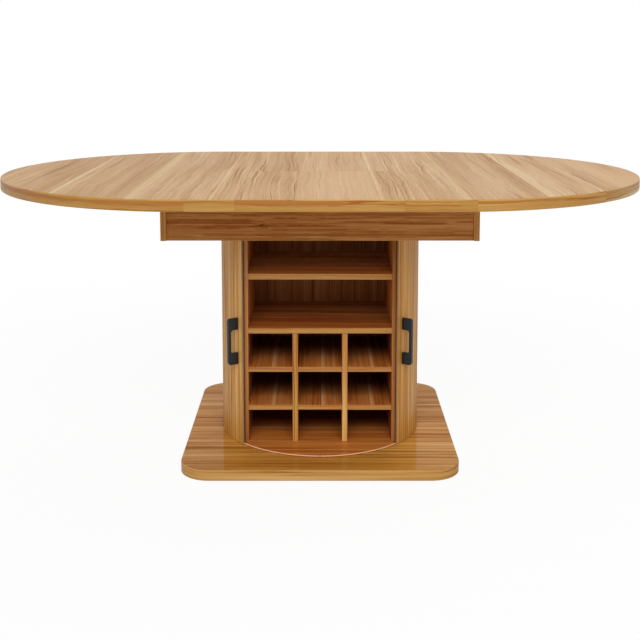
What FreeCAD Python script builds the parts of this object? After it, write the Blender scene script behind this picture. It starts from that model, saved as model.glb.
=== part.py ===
import FreeCAD, Part
import math
import os
from FreeCAD import Vector

# An extending oval table on a round cabinet. Millimetres, Z up, the front is -Y, origin on the floor.
# Angles round the drum are in degrees from the front centre, positive towards +X.

# --- Table top -------------------------------------------------------------------------------
table_height = 762.0
top_width = 1145.0          # front to back; the two ends are half circles of this width
half_length = 682.25        # one fixed half of the top, from its seam to its round end
leaf_width = 393.5          # the folding leaf between the halves
top_thickness = 29.0
top_edge_bevel = 1.5
seam_gap = 0.5
seat_gap = 0.3              # between parts that slide over or rest on each other
release_travel = 40.0       # each half draws out this far past the leaf

# --- Base ------------------------------------------------------------------------------------
base_size = 733.0
base_corner_radius = 80.0
base_thickness = 28.5
base_edge_bevel = 1.2
pad_height = 1.5            # felt pads under the base plate
pad_size = 40.0
pad_inset = 60.0

# --- Cabinet inside the drum -----------------------------------------------------------------
cabinet_width = 392.0       # clear width between the side panels
cabinet_half_depth = 157.0
board_thickness = 15.0
back_thickness = 5.0
middle_shelf_height = 334.0     # underside, above the floor
middle_shelf_thickness = 15.6
upper_shelf_height = 483.9
upper_shelf_thickness = 16.1
rack_pitch = 107.65         # from one rack shelf to the next
rack_board = 14.0
rack_columns = 3
lap_clearance = 0.2
board_edge_round = 1.0

# --- Drum shell and doors --------------------------------------------------------------------
shell_thickness = 6.0
shell_clearance = 0.3
rib_thickness = 15.0
door_gap = 2.2              # between the drum's shell and the inside of a door
door_thickness = 8.0
door_open_angle = 48.7      # a door's front edge when it stands open
door_span = 89.5
door_floor_gap = 0.8
door_head = 4.5             # how far a door reaches up into its groove
edge_strip_thickness = 1.2
rail_width = 3.0
rail_height = 4.0           # above the base plate
rail_seat = 6.0             # sunk into the base plate
rail_joint = 2.5            # gap between the two half rings
rail_clearance = 0.3        # between a rail and a door's groove
kerf_clearance = 0.55       # between a rail and its kerf in the base plate
door_groove_depth = 6.0
door_glide_length = 24.0
door_glide_inset = 10.0     # degrees in from each end of a door

# --- Handles ---------------------------------------------------------------------------------
handle_height = 317.0
handle_setback = 4.9        # degrees behind a door's front edge
handle_length = 128.0
handle_projection = 30.0
handle_width = 10.0
handle_bar = 7.0
handle_foot = 32.0
handle_corner = 5.5
handle_inner_corner = 9.0

# --- Frame under the top ---------------------------------------------------------------------
frame_length = 816.0        # over the end boards
frame_width = 620.0
rail_setback = 5.0          # the long rails stand back from the ends of the end boards
frame_board = 15.0
frame_depth = 115.0         # from the underside of the top to the underside of the frame
drum_top_thickness = 15.0
strip_height = 2.7
groove_clearance = 0.5
groove_head_room = 2.0
corner_block_leg = 50.0
corner_block_gap = 3.5      # below the slide bars
strip_width = 9.0
strip_inset = 14.0
tenon_places = ((-150.0, -110.0), (150.0, -110.0), (-150.0, 150.0), (150.0, 150.0))
tenon_length = 50.0
tenon_thickness = 10.0
tenon_depth = 10.0          # in each board
tenon_clearance = 0.15
hole_clearance = 0.2

# --- Slides ----------------------------------------------------------------------------------
slide_centre = 250.0        # each set's centre line, in front of and behind the middle
bar_width = 22.0
bar_height = 33.2
bar_gap = 1.0
tongue_depth = 6.0
tongue_root = 10.0
tongue_flare = 6.0
tongue_clearance = 0.35
moving_bar_outer = 560.0    # ends of a moving bar, with the leaf in
bar_end_clearance = 7.75    # from a closed bar's end to the end board
bearer_place = 320.0
notch_clearance = 1.0
batten_clearance = 4.75     # from a closed half's batten to the end board
batten_width = 40.0
batten_half_length = 300.0
batten_thickness = 20.0

# --- Rack and pinion that keeps the halves in step -------------------------------------------
gear_module = 3.0
pinion_teeth = 10
pressure_angle = 20.0
rack_addendum = 0.58        # in modules, short so that it clears the pinion's roots
pinion_addendum = 1.0
root_clearance = 0.3
backlash = 0.3
rack_back = 5.0
rack_margin = 15.0          # spare length of a rack past its travel
rack_thickness = 7.0
pinion_thickness = 6.2
pin_radius = 3.0
pin_clearance = 0.08
pin_head_width = 11.0       # across the flats
pin_head_height = 2.2
pin_grip = 20.0

# --- Concealed hinges in the leaf's seam ------------------------------------------------------
hinge_places = (-125.0, 125.0)
hinge_length = 42.0
hinge_width = 12.0
hinge_depth = 18.0

# --- Worked out from the sizes above ---------------------------------------------------------
top_under = table_height - top_thickness
frame_underside = top_under - frame_depth
end_radius = top_width / 2
seam = leaf_width / 2 + seam_gap
end_tip = seam + half_length
end_centre = end_tip - end_radius
base_top = pad_height + base_thickness
panel_inner = cabinet_width / 2
panel_outer = panel_inner + board_thickness
back_outer = cabinet_half_depth + back_thickness
rib_radius = math.hypot(panel_outer, cabinet_half_depth)
back_reach = math.sqrt(rib_radius ** 2 - back_outer ** 2)
shell_inner = rib_radius + shell_clearance
shell_outer = shell_inner + shell_thickness
shell_front_angle = math.degrees(math.atan2(panel_outer, cabinet_half_depth))
door_inner = shell_outer + door_gap
door_outer = door_inner + door_thickness
door_middle = (door_inner + door_outer) / 2
door_bottom = base_top + door_floor_gap
door_top = frame_underside + door_head
rail_top = base_top + rail_height
cabinet_ceiling = frame_underside - drum_top_thickness
frame_top = top_under - seat_gap - strip_height
frame_floor_top = frame_underside + frame_board
end_outer = frame_length / 2
end_inner = end_outer - frame_board
side_outer = frame_width / 2 - rail_setback
side_inner = side_outer - frame_board
bar_top = top_under - seat_gap
bar_bottom = bar_top - bar_height
bar_pitch = bar_width + bar_gap
pitch_radius = gear_module * pinion_teeth / 2
tooth_pitch = math.pi * gear_module
moving_bar_inner = end_inner - seam - bar_end_clearance
batten_place = end_outer + seam + batten_clearance
rack_inner = release_travel + rack_margin
rack_outer = seam + rack_margin


# --- Building blocks -------------------------------------------------------------------------
def board(x_low, x_high, y_low, y_high, z_low, z_high):
    return Part.makeBox(x_high - x_low, y_high - y_low, z_high - z_low, Vector(x_low, y_low, z_low))


def disc(radius, z_low, z_high, x=0.0, y=0.0):
    return Part.makeCylinder(radius, z_high - z_low, Vector(x, y, z_low))


def hexagon(width, z_low, z_high, x, y):
    """A six-sided head, by its width across the flats."""
    reach = width / math.sqrt(3)
    corners = [math.radians(60 * i) for i in range(6)]
    points = [Vector(x + reach * math.cos(a), y + reach * math.sin(a), z_low) for a in corners]
    return prism(points, Vector(0, 0, z_high - z_low))


def round_point(radius, angle, z):
    turn = math.radians(angle)
    return Vector(radius * math.sin(turn), -radius * math.cos(turn), z)


def bent_board(r_low, r_high, start, stop, z_low, z_high):
    """A board bent round the drum's axis, between two angles."""
    middle = (start + stop) / 2
    inner = Part.Arc(*[round_point(r_low, a, z_low) for a in (start, middle, stop)]).toShape()
    outer = Part.Arc(*[round_point(r_high, a, z_low) for a in (stop, middle, start)]).toShape()
    ends = [
        Part.makeLine(round_point(r_low, stop, z_low), round_point(r_high, stop, z_low)),
        Part.makeLine(round_point(r_high, start, z_low), round_point(r_low, start, z_low)),
    ]
    outline = Part.Wire(Part.__sortEdges__([inner, outer] + ends))
    return Part.Face(outline).extrude(Vector(0, 0, z_high - z_low))


def prism(points, along):
    return Part.Face(Part.makePolygon(points + points[:1])).extrude(along)


def eased(shape, radius, wanted):
    """Rounds the edges for which wanted is true."""
    return shape.makeFillet(radius, [edge for edge in shape.Edges if wanted(edge)])


def bevelled(shape, size, wanted):
    return shape.makeChamfer(size, [edge for edge in shape.Edges if wanted(edge)])


def box_of(edge):
    return edge.BoundBox


def lies_at(low, high, value):
    return abs(low - value) < 1e-4 and abs(high - value) < 1e-4


def flat_at_z(edge, *heights):
    box = box_of(edge)
    return any(lies_at(box.ZMin, box.ZMax, z) for z in heights)


def mirrored_x(shape):
    return shape.mirror(Vector(0, 0, 0), Vector(1, 0, 0))


def mirrored_y(shape):
    return shape.mirror(Vector(0, 0, 0), Vector(0, 1, 0))


def with_mirror_y(shape):
    return [shape, mirrored_y(shape)]


def upright(shape, angle):
    """Turns a shape built at the front of the drum to its angle."""
    turned = shape.copy()
    turned.rotate(Vector(0, 0, 0), Vector(0, 0, 1), angle)
    return turned


def save(name, *solids):
    shape = solids[0] if len(solids) == 1 else Part.makeCompound(list(solids))
    shape.exportStep(f"parts/{name}.step")


# --- Base ------------------------------------------------------------------------------------
def column_lines():
    """Middle of each divider, from the clear width and the number of columns."""
    dividers = rack_columns - 1
    cell = (cabinet_width - dividers * board_thickness) / rack_columns
    step = cell + board_thickness
    return [-panel_inner + cell + board_thickness / 2 + step * i for i in range(dividers)]


def floor_pads():
    reach = base_size / 2 - pad_inset
    places = [(0.0, 0.0)] + [(sx * reach, sy * reach) for sx in (-1, 1) for sy in (-1, 1)]
    half = pad_size / 2
    return [board(x - half, x + half, y - half, y + half, 0.0, pad_height) for x, y in places]


def base_plate():
    half = base_size / 2
    plate = board(-half, half, -half, half, pad_height, base_top)
    plate = eased(plate, base_corner_radius, lambda e: box_of(e).ZLength > base_thickness / 2)
    plate = bevelled(plate, base_edge_bevel, lambda e: flat_at_z(e, pad_height, base_top))
    kerf = disc(door_middle + rail_width / 2 + kerf_clearance, base_top - rail_seat, base_top)
    kerf = kerf.cut(disc(door_middle - rail_width / 2 - kerf_clearance, base_top - rail_seat, base_top))
    return plate.cut(kerf)


def door_rail():
    """The right half ring, sunk in the base plate, that a door runs on."""
    joint_angle = math.degrees(rail_joint / 2 / door_middle)
    return bent_board(door_middle - rail_width / 2, door_middle + rail_width / 2, joint_angle,
                      180 - joint_angle, base_top - rail_seat + hole_clearance, rail_top)


# --- Cabinet ---------------------------------------------------------------------------------
def front_eased(shape):
    """Rounds the long edges at the cabinet's front."""
    def at_front(edge):
        box = box_of(edge)
        long_edge = max(box.XLength, box.ZLength) > 2 * board_thickness
        return lies_at(box.YMin, box.YMax, -cabinet_half_depth) and long_edge
    return eased(shape, board_edge_round, at_front)


def side_panel():
    return front_eased(board(panel_inner, panel_outer, -cabinet_half_depth, cabinet_half_depth,
                             base_top, cabinet_ceiling))


def cabinet_back():
    return board(-back_reach, back_reach, cabinet_half_depth, back_outer, base_top, cabinet_ceiling)


def open_shelf(underside, thickness):
    shelf = board(-panel_inner, panel_inner, -cabinet_half_depth, cabinet_half_depth,
                  underside, underside + thickness)
    return front_eased(shelf)


def rack_shelf(level):
    """A bottle shelf, slotted from its front to half its depth where a divider passes."""
    underside = middle_shelf_height - level * rack_pitch
    shelf = board(-panel_inner, panel_inner, -cabinet_half_depth, cabinet_half_depth,
                  underside, underside + rack_board)
    reach = board_thickness / 2 + lap_clearance
    for line in column_lines():
        shelf = shelf.cut(board(line - reach, line + reach, -cabinet_half_depth, lap_clearance,
                                underside, underside + rack_board))
    return front_eased(shelf)


def divider(line):
    """An upright of the bottle rack, slotted from its back to half its depth for each shelf."""
    upright_board = board(line - board_thickness / 2, line + board_thickness / 2, -cabinet_half_depth,
                          cabinet_half_depth, base_top, middle_shelf_height)
    for level in (1, 2):
        underside = middle_shelf_height - level * rack_pitch
        upright_board = upright_board.cut(board(line - board_thickness, line + board_thickness,
                                                -lap_clearance, cabinet_half_depth,
                                                underside - lap_clearance,
                                                underside + rack_board + lap_clearance))
    return front_eased(upright_board)


def drum_top():
    """The board that closes the drum, with a straight front in line with the cabinet."""
    plate = disc(shell_outer, cabinet_ceiling, frame_underside)
    plate = plate.cut(board(-shell_outer, shell_outer, -shell_outer, -cabinet_half_depth,
                            cabinet_ceiling, frame_underside))
    return mortised(plate)


# --- Drum shell ------------------------------------------------------------------------------
def drum_shell():
    return bent_board(shell_inner, shell_outer, shell_front_angle, 180 - 0.05, base_top, cabinet_ceiling)


def rib_heights():
    lowest = base_top
    highest = cabinet_ceiling - rib_thickness
    return (lowest, (lowest + highest) / 2, highest)


def side_ribs():
    """D-shaped boards between the right side panel and the shell."""
    ribs = []
    for z in rib_heights():
        rib = disc(rib_radius, z, z + rib_thickness)
        ribs.append(rib.common(board(panel_outer, rib_radius, -rib_radius, rib_radius, z, z + rib_thickness)))
    return ribs


def rear_ribs():
    ribs = []
    for z in rib_heights():
        rib = disc(rib_radius, z, z + rib_thickness)
        ribs.append(rib.common(board(-rib_radius, rib_radius, back_outer, rib_radius, z, z + rib_thickness)))
    return ribs


# --- Right door, standing open ---------------------------------------------------------------
strip_angle = math.degrees(edge_strip_thickness / door_middle)


def rail_slot(start, stop):
    """The groove in a door's lower edge that straddles the rail."""
    reach = rail_width / 2 + rail_clearance
    return bent_board(door_middle - reach, door_middle + reach, start, stop,
                      door_bottom, door_bottom + door_groove_depth)


def handle_angle():
    return door_open_angle + handle_setback


def door_panel():
    start = door_open_angle + strip_angle
    stop = door_open_angle + door_span
    panel = bent_board(door_inner, door_outer, start, stop, door_bottom, door_top)
    return panel.cut(rail_slot(start, stop))


def door_edge():
    """The dark strip on the door's front edge."""
    stop = door_open_angle + strip_angle
    strip = bent_board(door_inner, door_outer, door_open_angle, stop, door_bottom, door_top)
    return strip.cut(rail_slot(door_open_angle, stop))


def door_glides():
    """Two nylon shoes in the groove, which carry the door on the rail."""
    half_angle = math.degrees(door_glide_length / 2 / door_middle)
    reach = rail_width / 2 + rail_clearance
    shoes = []
    for middle in (door_open_angle + door_glide_inset, door_open_angle + door_span - door_glide_inset):
        shoes.append(bent_board(door_middle - reach, door_middle + reach, middle - half_angle,
                                middle + half_angle, rail_top + seat_gap,
                                door_bottom + door_groove_depth))
    return shoes


def bow_handle():
    """A bow handle on the door's outside, with two thick feet and a flat bar."""
    foot_face = -door_outer
    front = foot_face - handle_projection
    low = handle_height - handle_length / 2
    high = handle_height + handle_length / 2
    gap_low = low + handle_foot
    gap_high = high - handle_foot
    half = handle_width / 2
    handle = board(-half, half, front, foot_face, low, high)
    handle = handle.cut(board(-half, half, front + handle_bar, foot_face, gap_low, gap_high))

    def across(edge, y, z):
        box = box_of(edge)
        return lies_at(box.YMin, box.YMax, y) and lies_at(box.ZMin, box.ZMax, z)

    handle = eased(handle, handle_corner, lambda e: across(e, front, low) or across(e, front, high))
    back = front + handle_bar
    handle = eased(handle, handle_inner_corner,
                   lambda e: across(e, back, gap_low) or across(e, back, gap_high))
    return upright(handle, handle_angle())


# --- Frame under the top ---------------------------------------------------------------------
def loose_tenons(clearance=0.0):
    """Loose tenons between the frame's floor and the drum's top, or with clearance their mortises."""
    half_x = tenon_length / 2 + clearance
    half_y = tenon_thickness / 2 + clearance
    half_z = tenon_depth + clearance
    return [board(x - half_x, x + half_x, y - half_y, y + half_y,
                  frame_underside - half_z, frame_underside + half_z) for x, y in tenon_places]


def mortised(shape):
    for mortise in loose_tenons(tenon_clearance):
        shape = shape.cut(mortise)
    return shape


def frame_floor():
    floor = board(-end_inner, end_inner, -side_inner, side_inner, frame_underside, frame_floor_top)
    groove_top = door_top + groove_head_room
    groove = disc(door_outer + groove_clearance, frame_underside, groove_top)
    groove = groove.cut(disc(door_inner - groove_clearance, frame_underside, groove_top))
    return mortised(floor.cut(groove))


def apron_end(side):
    """The right end board, notched for the slide bars on that side of the centre bars."""
    end = board(end_inner, end_outer, -frame_width / 2, frame_width / 2, frame_underside, frame_top)

    def corner(edge):
        box = box_of(edge)
        upright_edge = box.ZLength > frame_board and box.XLength < 1e-4
        return upright_edge or (flat_at_z(edge, frame_underside) and box.YLength > frame_board)

    end = bevelled(end, board_edge_round, corner)
    tongue_side = slide_centre + side * (bar_width / 2 - tongue_depth - notch_clearance)
    bar_side = slide_centre + side * (bar_pitch + bar_width / 2 + notch_clearance)
    notch = board(end_inner, end_outer, min(tongue_side, bar_side), max(tongue_side, bar_side),
                  bar_bottom - notch_clearance, frame_top)
    for cut in with_mirror_y(notch):
        end = end.cut(cut)
    return end


def apron_rail():
    """The front rail; the rear one is its mirror image."""
    rail = board(-end_inner, end_inner, -side_outer, -side_inner, frame_underside, frame_top)

    def lower_front(edge):
        box = box_of(edge)
        return flat_at_z(edge, frame_underside) and lies_at(box.YMin, box.YMax, -side_outer)

    return eased(rail, board_edge_round, lower_front)


def corner_blocks():
    blocks = []
    height = bar_bottom - corner_block_gap - frame_floor_top
    for sx in (-1, 1):
        for sy in (-1, 1):
            corner = Vector(sx * end_inner, sy * side_inner, frame_floor_top)
            along_x = corner + Vector(-sx * corner_block_leg, 0, 0)
            along_y = corner + Vector(0, -sy * corner_block_leg, 0)
            blocks.append(prism([corner, along_x, along_y], Vector(0, 0, height)))
    return blocks


def glide_strips():
    """Low-friction strips on the frame's top edges, just under the moving halves."""
    side_middle = (side_outer + side_inner) / 2
    end_middle = (end_outer + end_inner) / 2
    end_reach = slide_centre - 1.5 * bar_pitch - strip_inset
    strips = []
    for side in (-1, 1):
        strips.append(board(-end_inner + strip_inset, end_inner - strip_inset,
                            side * side_middle - strip_width / 2, side * side_middle + strip_width / 2,
                            frame_top, bar_top))
        strips.append(board(side * end_middle - strip_width / 2, side * end_middle + strip_width / 2,
                            -end_reach, end_reach, frame_top, bar_top))
    return strips


def slide_bearers():
    """Two cross boards that carry the slide bars inside the frame."""
    return [board(side * bearer_place - frame_board / 2, side * bearer_place + frame_board / 2,
                  -side_inner, side_inner, frame_floor_top, bar_bottom - seat_gap) for side in (-1, 1)]


# --- Slides ----------------------------------------------------------------------------------
bar_middle = (bar_top + bar_bottom) / 2


def flare(y, side, x, clearance=0.0):
    """Four corners of a dovetail whose root is at y and whose tip points along side."""
    root = tongue_root / 2 - clearance
    tip = root + tongue_flare / 2
    far = y + side * (tongue_depth - clearance)
    return [Vector(x, y, bar_middle - root), Vector(x, far, bar_middle - tip),
            Vector(x, far, bar_middle + tip), Vector(x, y, bar_middle + root)]


def centre_bar():
    """The fixed bar of the rear set, with a dovetail groove down each side."""
    bar = board(-end_inner, end_inner, slide_centre - bar_width / 2, slide_centre + bar_width / 2,
                bar_bottom, bar_top)
    length = Vector(2 * end_inner, 0, 0)
    for side in (-1, 1):
        face = slide_centre + side * bar_width / 2
        bar = bar.cut(prism(flare(face, -side, -end_inner), length))
    return bar.cut(disc(pin_radius + pin_clearance, bar_bottom, bar_bottom + pin_grip + hole_clearance,
                        0, slide_centre))


def moving_bar(side):
    """A rear sliding bar of the right half; side is the side of the centre bar that it runs on."""
    near = slide_centre + side * (bar_width / 2 + bar_gap)
    far = near + side * bar_width
    bar = board(-moving_bar_inner, moving_bar_outer, min(near, far), max(near, far), bar_bottom, bar_top)
    length = Vector(moving_bar_outer + moving_bar_inner, 0, 0)
    tongue_face = slide_centre + side * bar_width / 2
    tongue = prism(flare(tongue_face, -side, -moving_bar_inner, tongue_clearance), length)
    neck = tongue_root / 2 - tongue_clearance
    neck_board = board(-moving_bar_inner, moving_bar_outer, min(near, tongue_face), max(near, tongue_face),
                       bar_middle - neck, bar_middle + neck)
    return bar.fuse(neck_board).fuse(tongue).removeSplitter()


# --- Rack and pinion -------------------------------------------------------------------------
def rack(side):
    """The rear rack of the right half, its teeth towards the pinion; a gap faces the pinion at rest."""
    pitch_line = slide_centre + side * pitch_radius
    tip = pitch_line - side * rack_addendum * gear_module
    root = pitch_line + side * (pinion_addendum * gear_module + root_clearance)
    back = root + side * rack_back
    slope = math.tan(math.radians(pressure_angle))
    half_tooth = tooth_pitch / 4 - backlash / 2
    half_tip = half_tooth - abs(tip - pitch_line) * slope
    half_root = half_tooth + abs(root - pitch_line) * slope
    z_low = bar_bottom - rack_thickness
    first = math.ceil(-rack_inner / tooth_pitch + 0.5)
    last = math.floor(rack_outer / tooth_pitch - 0.5)
    points = [Vector(rack_outer, back, z_low), Vector(-rack_inner, back, z_low),
              Vector(-rack_inner, root, z_low)]
    for i in range(first, last):
        middle = (i + 0.5) * tooth_pitch
        points += [Vector(middle - half_root, root, z_low), Vector(middle - half_tip, tip, z_low),
                   Vector(middle + half_tip, tip, z_low), Vector(middle + half_root, root, z_low)]
    points.append(Vector(rack_outer, root, z_low))
    return prism(points, Vector(0, 0, rack_thickness))


def involute(base_radius, radius):
    """Polar angle of an involute, in radians, where it reaches a radius."""
    roll = math.sqrt(max(radius * radius / (base_radius * base_radius) - 1, 0))
    return roll - math.atan(roll)


def pinion():
    """A spur pinion on the rear centre bar, with a tooth towards each rack at rest."""
    base_radius = pitch_radius * math.cos(math.radians(pressure_angle))
    tip_radius = pitch_radius + pinion_addendum * gear_module
    root_radius = pitch_radius - rack_addendum * gear_module - root_clearance
    half_angle = (tooth_pitch / 4 - backlash / 2) / pitch_radius
    zero = half_angle + involute(base_radius, pitch_radius)
    z_low = bar_bottom - seat_gap - pinion_thickness
    steps = 2

    def at(radius, angle):
        return Vector(radius * math.cos(angle), slide_centre + radius * math.sin(angle), z_low)

    points = []
    for tooth in range(pinion_teeth):
        middle = math.pi / 2 + 2 * math.pi * tooth / pinion_teeth
        radii = [base_radius + (tip_radius - base_radius) * i / steps for i in range(steps + 1)]
        flank = [(r, zero - involute(base_radius, r)) for r in radii]
        points.append(at(root_radius, middle - zero))
        points += [at(r, middle - a) for r, a in flank]
        points += [at(r, middle + a) for r, a in reversed(flank)]
        points.append(at(root_radius, middle + zero))
    wheel = prism(points, Vector(0, 0, pinion_thickness))
    return wheel.cut(disc(pin_radius + pin_clearance, z_low, z_low + pinion_thickness, 0, slide_centre))


def pinion_pin():
    """A shoulder screw from below that the rear pinion turns on."""
    head_top = bar_bottom - 2 * seat_gap - pinion_thickness
    head = hexagon(pin_head_width, head_top - pin_head_height, head_top, 0, slide_centre)
    return head.fuse(disc(pin_radius, head_top, bar_bottom + pin_grip, 0, slide_centre))


# --- Table top -------------------------------------------------------------------------------
def half_top():
    front = Part.makeLine(Vector(seam, -end_radius, top_under), Vector(end_centre, -end_radius, top_under))
    end = Part.Arc(Vector(end_centre, -end_radius, top_under), Vector(end_tip, 0, top_under),
                   Vector(end_centre, end_radius, top_under)).toShape()
    rear = Part.makeLine(Vector(end_centre, end_radius, top_under), Vector(seam, end_radius, top_under))
    joint = Part.makeLine(Vector(seam, end_radius, top_under), Vector(seam, -end_radius, top_under))
    top = Part.Face(Part.Wire([front, end, rear, joint])).extrude(Vector(0, 0, top_thickness))
    return bevelled(top, top_edge_bevel,
                    lambda e: flat_at_z(e, top_under, table_height) and box_of(e).XMax > seam + 1)


def batten():
    """A cross batten that keeps the right half flat beyond its slide bars."""
    return board(batten_place, batten_place + batten_width, -batten_half_length, batten_half_length,
                 top_under - batten_thickness, top_under)


def leaf_half():
    """The rear half of the leaf, mortised in its seam edge for the hinges."""
    reach = leaf_width / 2
    leaf = board(-reach, reach, seam_gap / 2, end_radius, top_under, table_height)

    def rear_edge(edge):
        box = box_of(edge)
        return flat_at_z(edge, top_under, table_height) and lies_at(box.YMin, box.YMax, end_radius)

    leaf = bevelled(leaf, top_edge_bevel, rear_edge)
    for hinge in leaf_hinges(hole_clearance):
        leaf = leaf.cut(hinge)
    return leaf


def leaf_hinges(clearance=0.0):
    """Bodies of the concealed hinges in the rear half's seam edge, or with clearance their mortises."""
    middle = (top_under + table_height) / 2
    half_x = hinge_length / 2 + clearance
    half_z = hinge_width / 2 + clearance
    start = seam_gap / 2 + (0.0 if clearance else hole_clearance)
    stop = seam_gap / 2 + hinge_depth + clearance
    return [board(x - half_x, x + half_x, start, stop, middle - half_z, middle + half_z)
            for x in hinge_places]


# --- Every part is written out ---------------------------------------------------------------
def save_pair(name, *right_solids):
    """Writes a right-hand part and its mirror image on the left."""
    save(f"{name}_right", *right_solids)
    save(f"{name}_left", *[mirrored_x(solid) for solid in right_solids])


os.makedirs("parts", exist_ok=True)

save("floor_pads", *floor_pads())
save("base_plate", base_plate())
save_pair("door_rail", door_rail())

save_pair("side_panel", side_panel())
save("cabinet_back", cabinet_back())
save("middle_shelf", open_shelf(middle_shelf_height, middle_shelf_thickness))
save("upper_shelf", open_shelf(upper_shelf_height, upper_shelf_thickness))
save("rack_shelf_upper", rack_shelf(1))
save("rack_shelf_lower", rack_shelf(2))
save("divider_left", divider(column_lines()[0]))
save("divider_right", divider(column_lines()[-1]))
save("drum_top", drum_top())
save_pair("drum_shell", drum_shell())
save_pair("drum_ribs", *side_ribs())
save("drum_ribs_rear", *rear_ribs())

save_pair("door", door_panel())
save_pair("door_edge", door_edge())
save_pair("door_glides", *door_glides())
save_pair("handle", bow_handle())

save("frame_floor", frame_floor())
save("frame_tenons", *loose_tenons())
save("apron_end_right", apron_end(-1))
save("apron_end_left", mirrored_x(apron_end(1)))
save("apron_front", apron_rail())
save("apron_rear", mirrored_y(apron_rail()))
save("corner_blocks", *corner_blocks())
save("glide_strips", *glide_strips())
save("slide_bearers", *slide_bearers())

save("centre_bars", *with_mirror_y(centre_bar()))
save("slide_bar_right_rear", moving_bar(-1))
save("slide_bar_right_front", mirrored_y(moving_bar(-1)))
save("slide_bar_left_rear", mirrored_x(moving_bar(1)))
save("slide_bar_left_front", mirrored_x(mirrored_y(moving_bar(1))))
save("racks_right", *with_mirror_y(rack(-1)))
save("racks_left", *[mirrored_x(part) for part in with_mirror_y(rack(1))])
save("pinion_rear", pinion())
save("pinion_front", mirrored_y(pinion()))
save("pinion_pins", *with_mirror_y(pinion_pin()))

save_pair("top", half_top())
save_pair("batten", batten())
save("leaf_rear", leaf_half())
save("leaf_front", mirrored_y(leaf_half()))
save("leaf_hinges_rear", *leaf_hinges())
save("leaf_hinges_front", *[mirrored_y(hinge) for hinge in leaf_hinges()])
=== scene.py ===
"""Fine pieces, finishes and stage for an extending oval table on a round cabinet."""

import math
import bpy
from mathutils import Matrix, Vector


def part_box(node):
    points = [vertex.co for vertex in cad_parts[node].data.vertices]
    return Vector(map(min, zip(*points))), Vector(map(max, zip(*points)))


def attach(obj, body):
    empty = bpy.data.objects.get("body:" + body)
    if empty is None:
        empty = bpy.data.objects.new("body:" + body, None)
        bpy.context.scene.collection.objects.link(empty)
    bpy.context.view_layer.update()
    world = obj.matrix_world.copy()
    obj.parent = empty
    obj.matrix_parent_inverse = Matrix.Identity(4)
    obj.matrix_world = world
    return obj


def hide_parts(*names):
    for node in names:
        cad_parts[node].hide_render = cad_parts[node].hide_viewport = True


bl_info = {
    "name": "Extending Table Dressing",
    "version": (1, 0, 0),
    "blender": (4, 5, 0),
    "location": "3D View > Sidebar > Table",
    "description": "Builds the fine pieces and finishes of an extending table around its fixed frame",
    "category": "Object",
}

import bmesh
import bpy
from bpy.props import FloatProperty, FloatVectorProperty, IntProperty, PointerProperty
from mathutils import Matrix, Vector

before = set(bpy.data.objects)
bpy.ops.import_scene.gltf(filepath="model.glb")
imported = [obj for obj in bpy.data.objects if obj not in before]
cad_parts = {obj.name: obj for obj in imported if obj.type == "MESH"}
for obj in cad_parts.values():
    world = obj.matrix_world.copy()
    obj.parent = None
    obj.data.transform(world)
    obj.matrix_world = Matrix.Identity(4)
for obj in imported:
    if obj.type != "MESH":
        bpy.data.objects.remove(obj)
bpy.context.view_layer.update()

TOP_LOW, TOP_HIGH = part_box("top_right")
LEAF_LOW, LEAF_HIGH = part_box("leaf_rear")
BASE_LOW, BASE_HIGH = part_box("base_plate")
DOOR_LOW, DOOR_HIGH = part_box("door_right")
SHELL_LOW, SHELL_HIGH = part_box("drum_shell_right")
DRUM_TOP_LOW, DRUM_TOP_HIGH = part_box("drum_top")
RAIL_LOW, RAIL_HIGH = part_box("door_rail_right")
RACK_LOW, RACK_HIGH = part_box("racks_right")
FLOOR_LOW, FLOOR_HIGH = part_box("frame_floor")
HANDLE_LOW, HANDLE_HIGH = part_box("handle_right")

SIDES = ((1, "right"), (-1, "left"))
QUARTER = math.pi / 2
SHELL_THICKNESS = 0.006
RAIL_WIDTH = 0.003
RAIL_END = 0.00125       # half of the gap between the ends of the two rails
KERF_GAP = 0.00025       # between a rail and its kerf
SLIDE_CENTRE = 0.25      # from the middle of the table to the middle of a set of slides
BAR_OFFSET = 0.023       # from there to a sliding bar's centre line
RACK_OFFSET = 0.0183     # from there to a rack's root line
SCREW_SUNK = 0.002       # how far up into the wood a screw's head is drawn
WASHER_HEIGHT = 0.0015


# --- Settings ---
def number(name, description, default, high, low=0.0, **kind):
    return FloatProperty(name=name, description=description, default=default, min=low, max=high, **kind)


def length(name, description, default, high=5.0):
    return number(name, description, default, high, unit="LENGTH", precision=4)


def share(name, description, default, high=1.0):
    return number(name, description, default, high, subtype="FACTOR")


def power(name, description, default):
    return number(name, description, default, 2000.0, unit="POWER")


def colour(name, description, default):
    return FloatVectorProperty(name=name, description=description, default=default, size=3,
                               min=0.0, max=1.0, subtype="COLOR")


def turn(name, description, degrees):
    return number(name, description, math.radians(degrees), math.pi, -math.pi, subtype="ANGLE")


class StageSettings(bpy.types.PropertyGroup):
    """Camera, lamps and floor."""
    lens: number("Lens", "Focal length", 60.79, 300.0, 10.0, unit="CAMERA")
    camera_back: length("Camera Distance", "How far in front of the table the camera stands", 3.0317, 20.0)
    camera_height: length("Camera Height", "Height of the camera above the floor", 1.1129)
    camera_tilt: turn("Camera Tilt", "How far the camera looks down", 7.029)
    camera_shift: number("Camera Shift", "Vertical lens shift", -0.22, 1.0, -1.0)
    room_light: share("Room Light", "Even light from all round", 0.44, 3.0)
    key_light: power("Key Light", "Power of the large lamp in front", 400.0)
    top_light: power("Top Light", "Power of the lamp overhead", 18.0)
    back_light: power("Back Light", "Power of the lamp behind", 190.0)
    floor_white: share("Floor White", "How white the floor is seen to be, before shadows", 0.93)


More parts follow.
